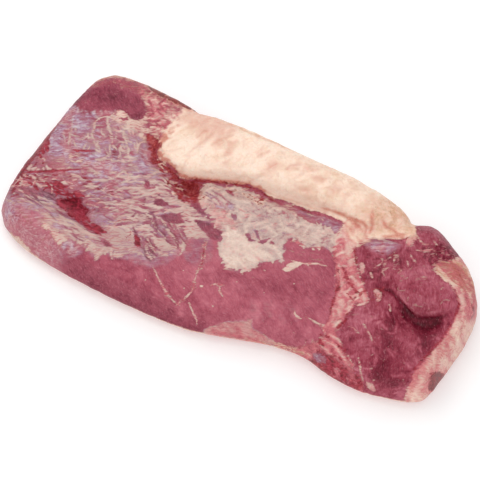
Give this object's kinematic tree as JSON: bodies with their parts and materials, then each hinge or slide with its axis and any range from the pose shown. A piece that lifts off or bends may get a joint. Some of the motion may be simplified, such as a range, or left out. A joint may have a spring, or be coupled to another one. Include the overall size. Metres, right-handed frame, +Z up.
{
  "type": "whole raw beef brisket",
  "caption": "Whole raw beef brisket lying fat side down: a long flat muscle and a thicker point, a seam of fat between them, a ridge of hard fat along one edge and a fat cap underneath.",
  "frame": {"origin": "middle of the footprint, on the surface that the fat cap rests on", "axes": "+X along the length, from the thin flat end to the thick point end; +Y across, towards the edge with the ridge of hard fat; +Z up from the fat cap to the lean side"},
  "size_m": [0.547, 0.2636, 0.0774],
  "materials": {
    "flat_lean": "wet raw lean, muted red with silverskin and thin fat over the flat end",
    "point_lean": "wet raw lean, darker red with fine marbling",
    "seam_fat": "soft pink and cream seam fat, moist",
    "hard_fat": "firm cream fat, waxy, with faint red stains",
    "fat_cap": "cream fat with pink and brown stains, waxy"
  },
  "bodies": {
    "root": {"flat_muscle": "flat_lean", "point_muscle": "point_lean", "seam_fat": "seam_fat", "hard_fat": "hard_fat", "fat_cap": "fat_cap"}
  },
  "joints": []
}
